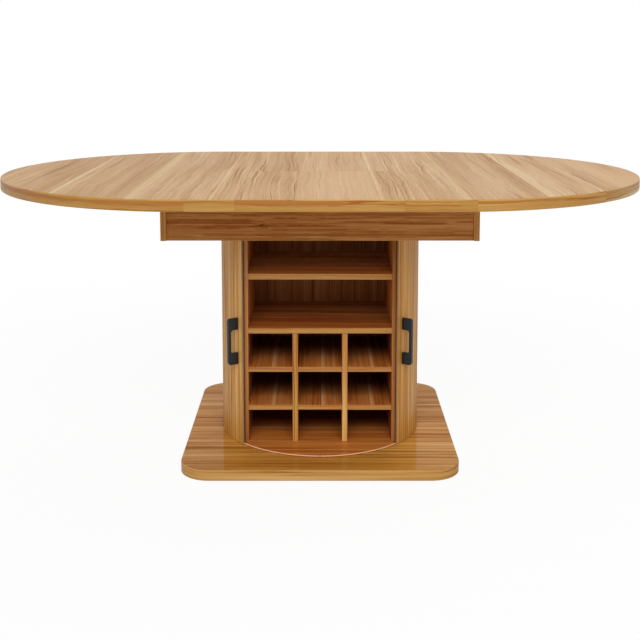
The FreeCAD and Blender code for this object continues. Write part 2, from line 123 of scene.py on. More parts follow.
class WoodSettings(bpy.types.PropertyGroup):
    """Colours and board widths of the veneer."""
    dark: colour("Dark", "Darkest streaks", (0.16, 0.042, 0.008))
    brown: colour("Brown", "Darker grain", (0.33, 0.125, 0.023))
    golden: colour("Golden", "Main colour", (0.50, 0.235, 0.055))
    pale: colour("Pale", "Lighter grain", (0.64, 0.36, 0.12))
    sapwood: colour("Sapwood", "Pale lines beside the joints between boards", (0.74, 0.49, 0.22))
    red: colour("Red", "Reddish streaks", (0.36, 0.085, 0.012))
    flame: colour("Flame", "Orange-red figure in the edge of the table top", (0.35, 0.100, 0.004))
    board_width: length("Board Width", "Width of one board of the table top", 0.1985, 1.0)
    board_start: length("Board Start", "Where the first joint between boards lies", 0.140, 1.0)
    top_roughness: share("Top Roughness", "Roughness of the lacquer on the table top", 0.36)
    base_roughness: share("Base Roughness", "Roughness of the lacquer on the base plate", 0.07)
    case_roughness: share("Case Roughness", "Roughness of the lacquer on cabinet and doors", 0.34)


class ShapeSettings(bpy.types.PropertyGroup):
    """Roundings and shapes that the fixed frame keeps plain."""
    top_edge_round: length("Top Edge Round", "Rounding of the table top's outer edges", 0.0025, 0.014)
    seam_edge_round: length("Seam Edge Round", "Rounding of the edges at the seams", 0.0004, 0.01)
    seam_gap: length("Seam Gap", "Half of the gap in a closed seam", 0.0001, 0.002)
    base_edge_round: length("Base Edge Round", "Rounding of the base plate's edges", 0.002, 0.014)
    base_corner: length("Base Corner", "Radius of the base plate's corners", 0.080, 0.3)
    door_inner: length("Door Inner Radius", "Radius of the hollow side of a door", 0.2715, 1.0)
    door_outer: length("Door Outer Radius", "Radius of the round side of a door", 0.2795, 1.0)
    door_start: turn("Door Front Edge", "Where an open door's front edge stands", 48.7)
    door_span: turn("Door Span", "How far a door reaches round the drum", 89.5)
    edging: length("Edging", "Width of the strip on a door's front edge", 0.0012, 0.01)
    groove_side: length("Groove Side", "Half width of the groove in a door's lower edge", 0.0018, 0.01)
    groove_depth: length("Groove Depth", "Depth of the groove in a door's lower edge", 0.006, 0.05)
    handle_angle: turn("Handle Angle", "Where an open door's handle stands", 53.6)
    handle_width: length("Handle Width", "Width of the handle across", 0.010, 0.1)
    handle_bar: length("Handle Bar", "Thickness of the handle's bar", 0.0075, 0.05)
    handle_foot: length("Handle Foot", "Length of each foot", 0.032, 0.1)
    handle_reach: length("Handle Reach", "How far the handle stands out", 0.030, 0.1)
    handle_corner: length("Handle Corner", "Rounding of the outer corners", 0.0075, 0.02)
    handle_inner_corner: length("Handle Inner Corner", "Rounding between feet and bar", 0.0075, 0.02)
    handle_edge_round: length("Handle Edge Round", "Rounding of the handle's long edges", 0.0010, 0.004)


class FixingSettings(bpy.types.PropertyGroup):
    """Screws, bolts and racks."""
    screw_head: length("Screw Head", "Radius of a countersunk head", 0.0042, 0.02)
    socket: length("Socket", "Radius of the hexagon socket", 0.0022, 0.02)
    bolt_head: length("Bolt Head", "Radius of a hexagon head over its corners", 0.0075, 0.03)
    washer: length("Washer", "Radius of a washer", 0.012, 0.03)
    rack_teeth: IntProperty(name="Rack Teeth", description="Teeth on one rack", default=27, min=1, max=200)
    rack_pitch: length("Rack Pitch", "From one tooth to the next", 0.00942478, 0.05)
    tooth_tip: length("Tooth Tip", "Width of a tooth at its tip", 0.003146, 0.02)
    tooth_root: length("Tooth Root", "Width of a tooth at its root", 0.006814, 0.02)
    tooth_height: length("Tooth Height", "Height of a tooth", 0.00504, 0.02)
    rack_back: length("Rack Back", "Depth of the bar behind the teeth", 0.005, 0.02)


class TableSettings(bpy.types.PropertyGroup):
    """Everything that can be set."""
    stage: PointerProperty(type=StageSettings)
    wood: PointerProperty(type=WoodSettings)
    shape: PointerProperty(type=ShapeSettings)
    fixings: PointerProperty(type=FixingSettings)


def settings():
    return bpy.context.scene.table_dressing


# --- Node trees ---
def arithmetic(operation, swapped=False):
    """A method of Wire that adds a Math node."""
    def method(self, other):
        return self.tree.maths(operation, *((other, self) if swapped else (self, other)))
    return method


class Wire:
    """A socket in a node tree. Arithmetic on it adds Math nodes."""

    def __init__(self, tree, node, socket):
        self.tree, self.node, self.socket = tree, node, socket

    def other(self, name):
        """Another output of the same node."""
        return Wire(self.tree, self.node, self.node.outputs[name])

    def __abs__(self):
        return self.tree.maths("ABSOLUTE", self)

    __add__ = __radd__ = arithmetic("ADD")
    __sub__ = arithmetic("SUBTRACT")
    __rsub__ = arithmetic("SUBTRACT", swapped=True)
    __mul__ = __rmul__ = arithmetic("MULTIPLY")
    __truediv__ = arithmetic("DIVIDE")
    __gt__ = arithmetic("GREATER_THAN")
    __lt__ = arithmetic("LESS_THAN")


class Tree:
    """Adds nodes to a tree."""

    def __init__(self, tree):
        self.tree = tree

    def add(self, kind, values=None, output=0, **setting):
        """A node: its settings first, then the values or links of its sockets."""
        node = self.tree.nodes.new(kind)
        for key, value in setting.items():
            if key == "stops":
                self.set_stops(node.color_ramp, value)
            elif key == "jumps":
                node.color_ramp.interpolation = "CONSTANT"
            else:
                setattr(node, key, value)
        for key, value in (values or {}).items():
            for one in value if isinstance(value, list) else [value]:
                if isinstance(one, Wire):
                    self.tree.links.new(one.socket, node.inputs[key])
                else:
                    node.inputs[key].default_value = one
        return Wire(self, node, node.outputs[output] if len(node.outputs) else None)

    def grow(self, kind, values=None, **setting):
        """A node of a Geometry Nodes tree."""
        return self.add("GeometryNode" + kind, values, **setting)

    @staticmethod
    def set_stops(ramp, stops):
        while len(ramp.elements) < len(stops):
            ramp.elements.new(1.0)
        for element, (place, tint) in zip(ramp.elements, stops):
            element.position = place
            element.color = (*tint, 1.0)

    def maths(self, operation, *numbers):
        return self.add("ShaderNodeMath", dict(enumerate(numbers)), operation=operation)

    def parts(self, coordinates):
        """X, Y and Z of one kind of texture coordinates."""
        place = self.add("ShaderNodeTexCoord", output=coordinates)
        split = self.add("ShaderNodeSeparateXYZ", {"Vector": place})
        return split, split.other("Y"), split.other("Z")

    def distance(self, x, y):
        return self.maths("SQRT", x * x + y * y)

    def smooth(self, value, low, high):
        """0 below low, 1 above high, and a smooth step between them."""
        return self.add("ShaderNodeMapRange", {"Value": value, "From Min": low, "From Max": high},
                        interpolation_type="SMOOTHSTEP")

    def point(self, x, y, z):
        return self.add("ShaderNodeCombineXYZ", {"X": x, "Y": y, "Z": z})

    def noise(self, x, y, z, detail=2.0, roughness=0.5):
        return self.add("ShaderNodeTexNoise", {"Vector": self.point(x, y, z), "Scale": 1.0,
                                               "Detail": detail, "Roughness": roughness},
                        noise_dimensions="3D")

    def chance(self, value):
        """A number from 0 to 1 that is fixed for each whole value."""
        return self.add("ShaderNodeTexWhiteNoise", {"W": value}, noise_dimensions="1D")

    def mix(self, factor, first, second, **setting):
        """A Mix node for two colours."""
        first, second = (part if isinstance(part, Wire) else (*part, 1.0) for part in (first, second))
        return self.add("ShaderNodeMix", {0: factor, 6: first, 7: second}, output=2,
                        data_type="RGBA", **setting)

    def blend(self, factor, first, second):
        """The first colour where factor is 0, and the second where it is 1."""
        return self.mix(factor, first, second, clamp_factor=True)

    def multiply(self, tint, amount):
        """Makes a colour darker or lighter by a number."""
        return self.mix(1.0, tint, self.point(amount, amount, amount), blend_type="MULTIPLY")

    def multiply_where(self, mask, tint, change):
        """Multiplies a colour by another, part by part, where mask is 1; the wood uses it for changes of
        colour and for painted light and shade.
        """
        return self.blend(mask, tint, self.mix(1.0, tint, change, blend_type="MULTIPLY"))

    def steps(self, whole, first, *values):
        """Looks a whole number up in a list of values; first is the number of the first value."""
        count = len(values)
        stops = [(i / count, (value * 10,) * 3) for i, value in enumerate(values)]
        found = self.add("ShaderNodeValToRGB", {"Fac": (whole - (first - 0.5)) / count},
                         stops=stops, jumps=True)
        return self.add("ShaderNodeSeparateColor", {"Color": found}) * 0.1

    def choose(self, mask, one, other):
        """one where mask is 1, and other where it is 0."""
        return one * mask + other * (1.0 - mask)


def new_material(name):
    material = bpy.data.materials.new(name)
    material.use_nodes = True
    material.node_tree.nodes.clear()
    return material, Tree(material.node_tree)


def finish_surface(tree, **values):
    """The surface shader and the material's output."""
    surface = tree.add("ShaderNodeBsdfPrincipled", {k.replace("_", " "): v for k, v in values.items()})
    tree.add("ShaderNodeOutputMaterial", {"Surface": surface})


# --- Wood ---
UPRIGHT = 0.7              # how far a face's normal leans to Y before the face counts as a front edge
LEVEL = 0.74               # how far it leans to Z before the face counts as an upper or lower side
BASE_BEND = 0.47           # metres of edge for each radian round the base plate

# Weights of the grain's layers, from broad clouds to the pores.
CLOUD_WEIGHT, BAND_WEIGHT, THREAD_WEIGHT, PORE_WEIGHT = 0.70, 0.80, 0.75, 0.25
LIGHT_LINE_WEIGHT, DARK_LINE_WEIGHT, BOARD_WEIGHT = 0.18, 0.42, 0.07
LINE_EDGES = 0.54, 0.72    # where the noise of thin lines starts and where it is full
FLAME_LEVEL = 0.560        # the height of the noise whose outline draws the flame figure
FLAME_START = TOP_LOW.z + 0.010, TOP_LOW.z + 0.018
JOINT_LINE = 0.4968, 0.4990    # in board widths from a board's middle
REAR_SHADE_FADE = -0.13, 0.03    # Y where the painted shading towards the rear starts and where it is full


def grain_places(tree, run, x, y, z):
    """Along the grain, across it, into the board, and a mask of its edges or None."""
    if run == "x":
        return x, y, z, None
    if run == "y":
        return y, x, z, None
    if run == "z":
        return z, x, y, None
    if run == "round":
        way_round = tree.maths("ARCTAN2", x, y * -1.0) * settings().shape.door_outer
        return z, way_round, tree.distance(x, y), None
    _, facing_y, facing_z = tree.parts("Normal")
    front = abs(facing_y) > UPRIGHT
    if run == "upright":
        return z, x, y, front
    if run == "long_shelf":
        return x, y + z, z, front
    if run in ("shelf", "apron_end"):
        one, two = (x, z) if run == "shelf" else (z, x)
        return tree.choose(front, one, y), tree.choose(front, two, one), tree.choose(front, y, two), front
    edge = abs(facing_z) < LEVEL
    if run == "top":
        centre = TOP_HIGH.x - TOP_HIGH.y
        middle = tree.maths("MINIMUM", tree.maths("MAXIMUM", x, -centre), centre)
        way_round = tree.maths("ARCTAN2", x - middle, y * -1.0) * TOP_HIGH.y + middle
        rear_leaf = (y > 0.0) * (abs(x) < LEAF_HIGH.x + 0.0002)
        x, y = x + rear_leaf * 0.002, y + rear_leaf * 3.3
        return tree.choose(edge, way_round, y), tree.choose(edge, z, x), z * (1.0 - edge), edge
    if run == "base":
        way_round = tree.maths("ARCTAN2", x, y * -1.0) * BASE_BEND
        return tree.choose(edge, way_round, x), tree.choose(edge, z, y), z * (1.0 - edge), edge
    raise ValueError(f"no such grain: {run}")


def wood(name, run, roughness, seed, boards=0.0, start=0.0, breaks=(), tint=(1.0, 1.0, 1.0), figure=1.0,
         streaks=1.0, threads=1.0, pitch=190.0, lines=1.0, red=0.5, wave=0.010, curl=0.001, coat=0.25,
         pale_widths=(), pale_share=0.5, pale_below=0.0, seam_and_highlight_above=0.0, flames=False, edge_calm=0.0,
         inner_tint=None, painted_rear_shading=None, painted_edge_shading=None, painted_low_shading=None):
    """Lacquered veneer.

    boards is the width of one board, or 0 for an unbroken sheet, start is where the first joint lies,
    and breaks are the joints along the edges. figure, streaks, threads, lines and red weigh the layers
    of the grain, pitch is how many threads lie in a metre, and wave and curl bend them. pale_widths is
    the first board's number and the width of each board's pale line. The pale rim along the top of an
    edge is partly a pale seam and partly a painted highlight. inner_tint changes the colour inside the
    ring rails; the other tints are painted light and shade towards the rear, on the edges and downwards:
    (start, full, colour, edges only).
    """
    looks = settings().wood

    def tinted(shade):
        return tuple(min(1.0, part * change) for part, change in zip(shade, tint))

    def streak(along_pitch, across_pitch, detail=2.0, roughness=0.5, shift=0.0):
        """Noise that is drawn out along the grain; the pitches are repeats in a metre."""
        sideways = across * across_pitch
        return tree.noise(along * along_pitch, sideways + shift if shift else sideways,
                          into * across_pitch, detail, roughness)

    material, tree = new_material(name)
    x, y, z = tree.parts("Object")
    along, across, into, edge = grain_places(tree, run, x, y, z)
    board = across * 0.0 + seed
    inside = None
    if boards:
        count = (across - start) / boards
        board_number = tree.maths("FLOOR", count)
        inside = count - board_number
        board = board_number + seed
        if edge is not None:
            board = board * (1.0 - edge)
            inside = tree.choose(edge, 0.5, inside)
    for place in breaks:
        board = board + (along > place) * edge * 3.7
    luck = tree.chance(board)
    more_luck = tree.chance(board + 41.3)
    along = along + luck * 9.0
    bend = streak(3.2, 7.0, roughness=0.4)
    ripple = streak(21.0, 25.0, 1.0)
    across = across + (bend - 0.5) * wave + (ripple - 0.5) * curl + more_luck * 3.0

    clouds = streak(0.8, 9.0)
    bands = streak(0.9, 36.0, roughness=0.55)
    thin = streak(1.5, pitch, roughness=0.6)
    pores = streak(14.0, 900.0, 1.0)
    bundles = tree.smooth(streak(1.4, 22.0, 1.0, shift=5.0), 0.46, 0.62)
    dark_lines = tree.smooth(streak(2.0, pitch * 1.2, 1.0, shift=9.0), *LINE_EDGES)
    dark_lines = dark_lines * (0.20 + 0.80 * bundles) * lines
    light_lines = tree.smooth(streak(1.3, pitch * 0.65, 1.0, shift=31.0), *LINE_EDGES)
    lively = 0.7 + 0.6 * tree.chance(board + 17.7)
    grain = ((clouds - 0.5) * (CLOUD_WEIGHT * figure) + (bands - 0.5) * (BAND_WEIGHT * streaks)
             + (thin - 0.5) * (THREAD_WEIGHT * threads) + (pores - 0.5) * PORE_WEIGHT
             + light_lines * (LIGHT_LINE_WEIGHT * lines) - dark_lines * DARK_LINE_WEIGHT) * lively
    grain = grain + (luck - 0.5) * BOARD_WEIGHT
    if edge_calm:
        grain = grain * (1.0 - edge * edge_calm)

    body = tree.add("ShaderNodeValToRGB", {"Fac": grain + 0.60}, stops=[
        (0.08, tinted(looks.dark)), (0.34, tinted(looks.brown)), (0.62, tinted(looks.golden)),
        (0.95, tinted(looks.pale))])
    if red:
        redness = tree.smooth(streak(2.4, 70.0, shift=11.0), 0.56, 0.68)
        body = tree.blend(redness * red, body, tinted(looks.red))
    # A pale rim along the top of an edge: partly a pale seam, partly a painted highlight on the rounded
    # edge.
    if seam_and_highlight_above:
        rim = tree.smooth(z, seam_and_highlight_above, seam_and_highlight_above + 0.0015) * edge
        body = tree.blend(rim * 0.6, body, tinted(looks.pale))
    if flames:
        field = tree.noise(along * 3.3, z * 62.0, luck * 5.0, 1.0)
        rim = tree.smooth(abs(field - FLAME_LEVEL), 0.024, 0.008)
        heart = tree.smooth(field, FLAME_LEVEL, FLAME_LEVEL + 0.04) * 0.65
        near_top = tree.smooth(z, *FLAME_START) * edge
        body = tree.blend(tree.maths("MAXIMUM", rim, heart) * near_top, body, looks.flame)
    if pale_widths:
        width = tree.steps(board_number, *pale_widths) / boards
        wander = (bend - 0.5) * 0.16 + (thin - 0.5) * 0.08
        side = tree.smooth(inside + wander * width * 4.0, width * 1.25, width * 0.35) * (width > 0.001)
        body = tree.blend(side * pale_share, body, tinted(looks.sapwood))
    shade = 0.97 + 0.06 * more_luck
    if inside is not None:
        joint = tree.smooth(abs(inside - 0.5), *JOINT_LINE)
        shade = shade * (1.0 - joint * 0.15)
    if pale_below:
        low_edge = tree.smooth(z, pale_below, pale_below - 0.0008)
        body = tree.blend(low_edge * 0.5, body, tinted(looks.pale))
    body = tree.multiply(body, shade)

    within = 1.0
    if inner_tint:
        within = (tree.distance(x, y) < RAIL_HIGH.x - RAIL_WIDTH / 2) * (z > RAIL_LOW.z) * (1.0 - edge)
        body = tree.multiply_where(within, body, inner_tint)
    # Painted shading towards the rear: darker deep in the cabinet and on the base under it, lighter on the
    # upper shelf.
    if painted_rear_shading:
        body = tree.multiply_where(tree.smooth(y, *REAR_SHADE_FADE) * within, body, painted_rear_shading)
    # Painted light and shade on the edges: lighter or darker than the faces, as light falls on them.
    if painted_edge_shading:
        body = tree.multiply_where(edge, body, painted_edge_shading)
    # Painted light and shade downwards: light bounced onto lower front edges, shade on lower faces.
    if painted_low_shading:
        upper, lower, change, on_edges = painted_low_shading
        body = tree.multiply_where(tree.smooth(z, upper, lower) * (edge if on_edges else 1.0 - edge), body, change)
    bump = tree.add("ShaderNodeBump", {"Strength": 0.08, "Distance": 0.0004,
                                       "Height": thin * 0.6 + pores * 0.4 - dark_lines * 0.4})
    finish_surface(tree, Base_Color=body, Roughness=roughness + (pores - 0.5) * 0.05 + (bands - 0.5) * 0.08,
                   Normal=bump, Specular_IOR_Level=0.0, Coat_Roughness=roughness,
                   Coat_Weight=tree.maths("MAXIMUM", grain * (2.0 * coat) + coat, 0.0))
    return material


def veneers(looks):
    """Each wood: the run of its grain, and what it has of its own."""
    case = looks.case_roughness
    beech = dict(roughness=0.5, tint=(1.15, 1.5, 2.6), figure=0.4, streaks=0.5, lines=0.3, red=0.0)
    # The edge tints paint light and shade on the edges against the faces. The rear tints paint the shade
    # deep in the cabinet and on the base under it, and paint the upper shelf lighter. The low tints paint
    # light on the lower front edges and shade on the side panels' lower faces.
    return {
        "top_wood": dict(
            run="top", roughness=looks.top_roughness, seed=3.0, boards=looks.board_width,
            start=looks.board_start, breaks=(-0.58, -0.314, -0.197, 0.197, 0.365, 0.74),
            tint=(0.92, 1.0, 0.985), figure=0.50, streaks=0.30, threads=0.32, lines=0.55, red=0.12,
            wave=0.03, curl=0.005, coat=0.76, flames=True, seam_and_highlight_above=TOP_HIGH.z - 0.0035,
            edge_calm=-0.4, painted_edge_shading=(0.84, 0.81, 0.61),
            pale_widths=(-6, 0.01, 0.006, 0.012, 0.040, 0.006, 0.0, 0.010, 0.014, 0.030, 0.0)),
        "base_wood": dict(
            run="base", roughness=looks.base_roughness, seed=24.0, boards=0.1985, start=-0.0567,
            tint=(1.045, 1.03, 0.76), streaks=0.5, threads=1.4, pitch=115.0, lines=1.1, red=0.3,
            wave=0.006, coat=0.34, pale_widths=(-2, 0.005, 0.006, 0.016, 0.012),
            edge_calm=0.3, painted_edge_shading=(0.96, 1.09, 1.62), inner_tint=(1.01, 0.75, 0.78),
            painted_rear_shading=(0.72, 0.62, 0.84)),
        # Painted shade: the apron's darker, redder tint stands in for the shade under the top's overhang.
        "apron_wood": dict(
            run="x", roughness=case, seed=5.0, tint=(0.85, 0.69, 0.585), figure=0.9, threads=1.2,
            lines=0.9, red=0.6, wave=0.03, curl=0.006, pale_below=FLOOR_LOW.z + 0.0075),
        "apron_end_wood": dict(run="apron_end", roughness=case, seed=8.0, tint=(1.02, 1.0, 1.0)),
        # Painted shade: the shelves, rack shelves and dividers are darker, redder copies of the veneer for
        # the shade inside the cabinet; the upper shelf's copy is painted lighter.
        "shelf_wood": dict(
            run="long_shelf", roughness=case, seed=13.0, tint=(0.87, 0.58, 0.50), red=0.6, wave=0.02,
            curl=0.008, painted_edge_shading=(1.06, 1.67, 1.98), painted_rear_shading=(0.78, 0.95, 1.3)),
        "upper_shelf_wood": dict(
            run="long_shelf", roughness=case, seed=14.0, tint=(1.33, 1.03, 1.15), red=0.6, wave=0.02,
            curl=0.008, painted_edge_shading=(0.68, 0.83, 0.64), painted_rear_shading=(1.3, 2.0, 3.5)),
        "rack_shelf_wood": dict(
            run="shelf", roughness=case, seed=17.0, boards=0.1357, start=0.003, tint=(0.93, 0.66, 0.56),
            pale_widths=(-2, 0.012, 0.014, 0.014, 0.012), pale_share=0.9,
            edge_calm=0.2, painted_edge_shading=(0.91, 1.17, 1.58), painted_rear_shading=(0.60, 0.64, 0.90),
            painted_low_shading=(0.24, 0.10, (1.27, 1.56, 1.68), True)),
        "side_wood": dict(
            run="upright", roughness=case, seed=29.0, tint=(1.02, 0.80, 0.84), figure=0.5,
            painted_edge_shading=(1.0, 1.12, 1.25), painted_low_shading=(0.338, 0.330, (0.70, 0.62, 0.68), False)),
        "divider_wood": dict(
            run="upright", roughness=case, seed=30.0, tint=(0.60, 0.35, 0.24), figure=0.4,
            edge_calm=0.3, painted_edge_shading=(1.58, 2.58, 3.87), painted_rear_shading=(0.85, 0.66, 0.6),
            painted_low_shading=(0.24, 0.10, (1.28, 1.48, 1.56), True)),
        "back_wood": dict(run="z", roughness=0.45, seed=31.0, tint=(0.72, 0.58, 0.6), lines=1.4, red=0.8),
        "door_wood": dict(
            run="round", roughness=case, seed=37.0, tint=(1.07, 1.11, 1.02), figure=0.25, streaks=0.4,
            threads=1.8, pitch=150.0, lines=0.9, red=0.1, wave=0.004, coat=0.34),
        "plain_board": dict(run="x", roughness=0.5, seed=43.0, tint=(0.85, 0.85, 0.85), figure=0.7, red=0.2),
        "beech_long": dict(run="x", seed=47.0, **beech),
        "beech_across": dict(run="y", seed=53.0, **beech),
    }


def plain_finish(name, tint, roughness, metallic=0.0, grain=1200.0, wear=0.15, bump=0.05, specular=0.5):
    """Metal, plastic or felt with a fine, slightly uneven surface."""
    material, tree = new_material(name)
    x, y, z = tree.parts("Object")
    speckle = tree.noise(x * grain, y * grain, z * grain)
    cloud = tree.noise(x * 30.0, y * 30.0, z * 30.0)
    lighter = tuple(min(1.0, c * (1 + wear) + 0.01 * wear) for c in tint)
    darker = tuple(c * (1 - wear) for c in tint)
    height = tree.add("ShaderNodeBump", {"Strength": bump, "Distance": 0.0003, "Height": speckle})
    finish_surface(tree, Base_Color=tree.blend(cloud * 0.6 + speckle * 0.4, darker, lighter),
                   Metallic=metallic, Roughness=roughness + (cloud - 0.5) * 0.12 + (speckle - 0.5) * 0.08,
                   Normal=height, Specular_IOR_Level=specular)
    return material


PLAIN_FINISHES = {
    "handle_black": dict(tint=(0.0072, 0.0096, 0.0128), roughness=0.40, grain=1500.0, wear=0.25,
                         bump=0.08, specular=0.28),
    "pale_nylon": dict(tint=(0.60, 0.36, 0.21), roughness=0.5, grain=600.0, wear=0.1, specular=0.1),
    "zinc_steel": dict(tint=(0.56, 0.56, 0.58), roughness=0.32, metallic=1.0),
    "hinge_brass": dict(tint=(0.72, 0.52, 0.24), roughness=0.3, metallic=1.0),
    "brown_felt": dict(tint=(0.10, 0.07, 0.05), roughness=0.95, grain=2500.0, wear=0.4, bump=0.4),
}


def edging(name):
    """The strip on a door's front edge: grey outside, a painted highlight where its round corner catches
    light, and dark brown inside, partly its own colour and partly painted shade.
    """
    material, tree = new_material(name)
    x, y, z = tree.parts("Object")
    # Painted highlight: the outer part of the end face, by the round corner, is grey; the dark brown inside
    # is partly painted shade.
    highlight_start = settings().shape.door_outer - 0.0038
    painted_highlight = tree.smooth(tree.distance(x, y), highlight_start, highlight_start + 0.0006)
    speckle = tree.noise(x * 700.0, y * 700.0, z * 90.0)
    body = tree.blend(painted_highlight, (0.105, 0.043, 0.012), (0.30, 0.19, 0.11))
    finish_surface(tree, Base_Color=tree.multiply(body, 0.8 + speckle * 0.4),
                   Roughness=0.45 + (speckle - 0.5) * 0.1, Specular_IOR_Level=0.05)
    return material


def rail(name):
    """The half ring rails: pale where they stand clear of the base, and dark brown below, painted shade
    where they sit down in the kerf.
    """
    material, tree = new_material(name)
    x, y, z = tree.parts("Object")
    # Painted shade: the part of a rail down in the kerf is dark brown.
    upper = tree.smooth(z, BASE_HIGH.z + 0.0016, BASE_HIGH.z + 0.0026)
    cloud = tree.noise(x * 25.0, y * 25.0, z * 25.0)
    body = tree.blend(upper, (0.26, 0.085, 0.02), (0.90, 0.50, 0.29))
    finish_surface(tree, Base_Color=tree.multiply(body, 0.9 + cloud * 0.2),
                   Roughness=0.45 + (cloud - 0.5) * 0.1, Specular_IOR_Level=0.1)
    return material


MADE = {}


def finish(name):
    """The named material, made when it is first needed."""
    if name not in MADE:
        if name == "door_edging":
            MADE[name] = edging(name)
        elif name == "rail_nylon":
            MADE[name] = rail(name)
        elif name in PLAIN_FINISHES:
            MADE[name] = plain_finish(name, **PLAIN_FINISHES[name])
        else:
            MADE[name] = wood(name, **veneers(settings().wood)[name])
    return MADE[name]


def dress(name, *nodes):
    """Gives a finish to nodes of the fixed frame."""
    for node in nodes:
        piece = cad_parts[node]
        if not piece.material_slots:
            piece.data.materials.append(None)
        for held in piece.material_slots:
            held.material = finish(name)


# --- Mesh building ---
def walls(bm, loops):
    """Walls between closed loops of equal length, and a face over the last loop."""
    rows = [[bm.verts.new(point) for point in loop] for loop in loops]
    for low, high in zip(rows, rows[1:]):
        for i in range(len(low)):
            j = (i + 1) % len(low)
            bm.faces.new((low[i], low[j], high[j], high[i]))
    bm.faces.new(rows[-1])
    return rows


def loft(bm, loops):
    """Walls with a face over each end."""
    rows = walls(bm, loops)
    bm.faces.new(list(reversed(rows[0])))


def arc(centre, radius, start, stop, steps):
    """Points of an arc in the plane, between two angles."""
    turns = [start + (stop - start) * i / steps for i in range(steps + 1)]
    return [(centre[0] + radius * math.cos(a), centre[1] + radius * math.sin(a)) for a in turns]


def edge_profile(low, high, radius, steps=5):
    """(inset, height) pairs up the side of a board with rounded lower and upper edges."""
    return (arc((radius, low + radius), radius, -QUARTER, -math.pi, steps)
            + arc((radius, high - radius), radius, math.pi, QUARTER, steps))


def soft_rectangle(left, right, low, high, radius, steps=3):
    """A rectangle with its corners rounded, counterclockwise from its lower right corner."""
    corners = ((right - radius, low + radius), (right - radius, high - radius),
               (left + radius, high - radius), (left + radius, low + radius))
    return [point for i, corner in enumerate(corners)
            for point in arc(corner, radius, QUARTER * (i - 1), QUARTER * i, steps)]


def board_loops(profile, outline, sx=1, sy=1):
    """Loops up the side of a board, whose outline for an inset is a function; sx and sy mirror it."""
    return [[Vector((x * sx, y * sy, height)) for x, y in outline(inset)] for inset, height in profile]


def round_place(radius, angle, height):
    """A point round the drum; the angle runs from the front towards +X."""
    return Vector((radius * math.sin(angle), -radius * math.cos(angle), height))


def swept_loops(section, start, stop, steps):
    """A section of (radius, height) pairs, carried round the drum."""
    turns = [start + (stop - start) * i / steps for i in range(steps + 1)]
    return [[round_place(r, a, z) for r, z in section] for a in turns]


def placed(name, data):
    """A new object in the scene."""
    obj = bpy.data.objects.new(name, data)
    bpy.context.scene.collection.objects.link(obj)
    return obj


def evened(obj, name):
    """The object as it is after its modifiers, as a plain mesh of its own."""
    graph = bpy.context.evaluated_depsgraph_get()
    mesh = bpy.data.meshes.new_from_object(obj.evaluated_get(graph), preserve_all_data_layers=True,
                                           depsgraph=graph)
    old = obj.data
    bpy.data.objects.remove(obj)
    if old.users == 0:
        bpy.data.meshes.remove(old)
    mesh.name = name
    return placed(name, mesh)


def piece_from(bm, name, material, body, slot, *replaced, sharp=32.0, round_by=0.0):
    """Turns a mesh being built into a finished piece that rides on a body."""
    bmesh.ops.recalc_face_normals(bm, faces=bm.faces[:])
    mesh = bpy.data.meshes.new(name)
    bm.to_mesh(mesh)
    bm.free()
    obj = placed(name + "_raw", mesh)
    if round_by:
        bevel = obj.modifiers.new("round", "BEVEL")
        bevel.width = round_by
        bevel.segments = 3
        bevel.limit_method = "ANGLE"
        bevel.angle_limit = math.radians(sharp)
        obj = evened(obj, name + "_round")
    obj.data.shade_smooth()
    obj.data.set_sharp_from_angle(angle=math.radians(sharp))
    obj.modifiers.new("even", "WEIGHTED_NORMAL").keep_sharp = True
    made = evened(obj, name)
    made.data.materials.clear()
    made.data.materials.append(finish(material))
    settle(made, body, slot, *replaced)


def lofted(loops, *piece, **how):
    """A finished piece from loops; the rest is what piece_from takes."""
    bm = bmesh.new()
    loft(bm, loops)
    piece_from(bm, *piece, **how)


def settle(obj, body, slot, *replaced):
    """Rides a piece on its body and hides the nodes that it stands for; slot is not used."""
    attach(obj, body)
    if replaced:
        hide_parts(*replaced)


# --- Pieces ---
class TABLE_OT_top(bpy.types.Operator):
    """The two halves of the top, and the leaf between them"""
    bl_idname = "table_dressing.top"
    bl_label = "Table Top"

    def execute(self, context):
        shape = settings().shape
        profile = edge_profile(TOP_LOW.z, TOP_HIGH.z, shape.top_edge_round)
        at_seam = shape.seam_edge_round / shape.top_edge_round
        radius = TOP_HIGH.y
        centre = TOP_HIGH.x - radius
        seam = (TOP_LOW.x + LEAF_HIGH.x) / 2

        def half_outline(inset):
            near = seam + shape.seam_gap + inset * at_seam
            rim = arc((centre, 0.0), radius - inset, -QUARTER, QUARTER, 120)
            return [(near, -radius + inset)] + rim + [(near, radius - inset)]

        def leaf_outline(inset):
            reach = seam - shape.seam_gap - inset * at_seam
            near = shape.seam_gap + inset * at_seam
            far = LEAF_HIGH.y - inset
            return [(-reach, near), (reach, near), (reach, far), (-reach, far)]

        for side, word in SIDES:
            lofted(board_loops(profile, half_outline, sx=side), f"half_top_{word}", "top_wood",
                   f"top_half_{word}", "top_veneer", f"top_{word}")
        for side, word, body in ((1, "rear", "leaf_back"), (-1, "front", "leaf_flap")):
            lofted(board_loops(profile, leaf_outline, sy=side), f"leaf_board_{word}", "top_wood", body,
                   "top_veneer", f"leaf_{word}")
        dress("hinge_brass", "leaf_hinges_front", "leaf_hinges_rear")
        return {"FINISHED"}


